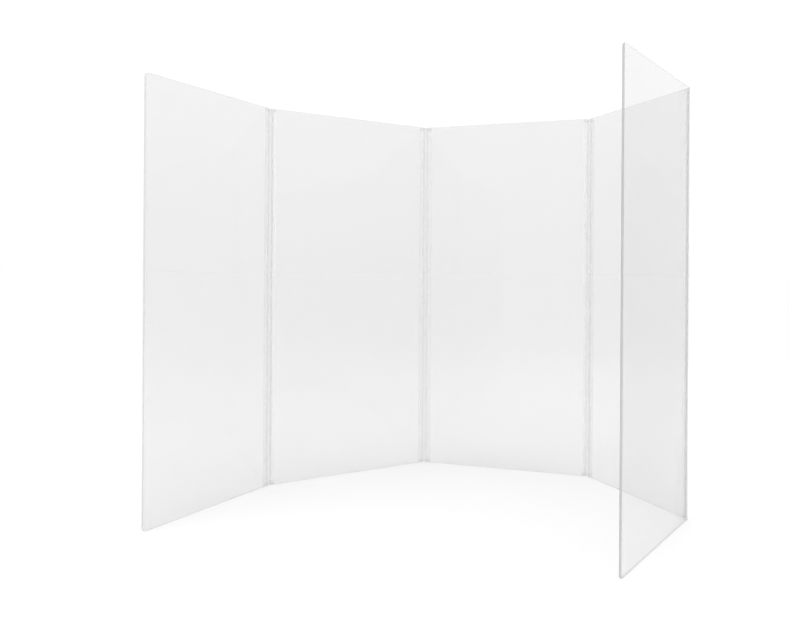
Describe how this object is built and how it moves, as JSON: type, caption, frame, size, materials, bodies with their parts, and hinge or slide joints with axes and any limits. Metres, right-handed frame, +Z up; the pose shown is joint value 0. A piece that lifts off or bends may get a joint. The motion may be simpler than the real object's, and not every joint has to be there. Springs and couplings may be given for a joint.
{
  "type": "drum shield",
  "caption": "Free-standing clear acoustic screen: tall acrylic sheets in an arc round a drum kit, joined by full-length live hinges that fold flat either way.",
  "frame": {"origin": "middle of the footprint's bounding box, on the floor", "axes": "+Z up; +X along the middle sheet, to the right as seen by someone in the open side looking in; +Y from the open side towards the middle sheet"},
  "size_m": [1.352, 1.1916, 1.2192],
  "materials": {
    "clear_acrylic": "polished",
    "clear_rigid_vinyl": "gloss",
    "clear_flexible_vinyl": "gloss"
  },
  "bodies": {
    "middle_sheet": {"panel_3": "clear_acrylic", "hinge_2_right_channel": "clear_rigid_vinyl", "hinge_3_left_channel": "clear_rigid_vinyl"},
    "web_2": {"hinge_2_web": "clear_flexible_vinyl"},
    "left_sheet": {"panel_2": "clear_acrylic", "hinge_2_left_channel": "clear_rigid_vinyl", "hinge_1_right_channel": "clear_rigid_vinyl"},
    "web_1": {"hinge_1_web": "clear_flexible_vinyl"},
    "left_end_sheet": {"panel_1": "clear_acrylic", "hinge_1_left_channel": "clear_rigid_vinyl"},
    "web_3": {"hinge_3_web": "clear_flexible_vinyl"},
    "right_sheet": {"panel_4": "clear_acrylic", "hinge_3_right_channel": "clear_rigid_vinyl", "hinge_4_left_channel": "clear_rigid_vinyl"},
    "web_4": {"hinge_4_web": "clear_flexible_vinyl"},
    "right_end_sheet": {"panel_5": "clear_acrylic", "hinge_4_right_channel": "clear_rigid_vinyl"}
  },
  "joints": [
    {"name": "hinge_2_right_bend", "type": "hinge", "parent": "middle_sheet", "child": "web_2", "pos_m": [-0.39457, 0.5906, 0], "axis": [0, 0, 1], "range_deg": [-122.3, 57.7]},
    {"name": "hinge_2_left_bend", "type": "hinge", "parent": "web_2", "child": "left_sheet", "pos_m": [-0.40433, 0.58442, 0], "axis": [0, 0, 1], "range_deg": [-122.3, 57.7]},
    {"name": "hinge_1_right_bend", "type": "hinge", "parent": "left_sheet", "child": "web_1", "pos_m": [-0.66907, 0.02689, 0], "axis": [0, 0, -1], "range_deg": [-74.8, 105.2]},
    {"name": "hinge_1_left_bend", "type": "hinge", "parent": "web_1", "child": "left_end_sheet", "pos_m": [-0.67112, 0.01552, 0], "axis": [0, 0, -1], "range_deg": [-74.8, 105.2]},
    {"name": "hinge_3_left_bend", "type": "hinge", "parent": "middle_sheet", "child": "web_3", "pos_m": [0.22263, 0.5906, 0], "axis": [0, 0, 1], "range_deg": [-67.3, 112.7]},
    {"name": "hinge_3_right_bend", "type": "hinge", "parent": "web_3", "child": "right_sheet", "pos_m": [0.23328, 0.58614, 0], "axis": [0, 0, 1], "range_deg": [-67.3, 112.7]},
    {"name": "hinge_4_left_bend", "type": "hinge", "parent": "right_sheet", "child": "web_4", "pos_m": [0.66665, 0.14668, 0], "axis": [0, 0, -1], "range_deg": [-112.9, 67.1]},
    {"name": "hinge_4_right_bend", "type": "hinge", "parent": "web_4", "child": "right_end_sheet", "pos_m": [0.67092, 0.13595, 0], "axis": [0, 0, -1], "range_deg": [-112.9, 67.1]}
  ]
}
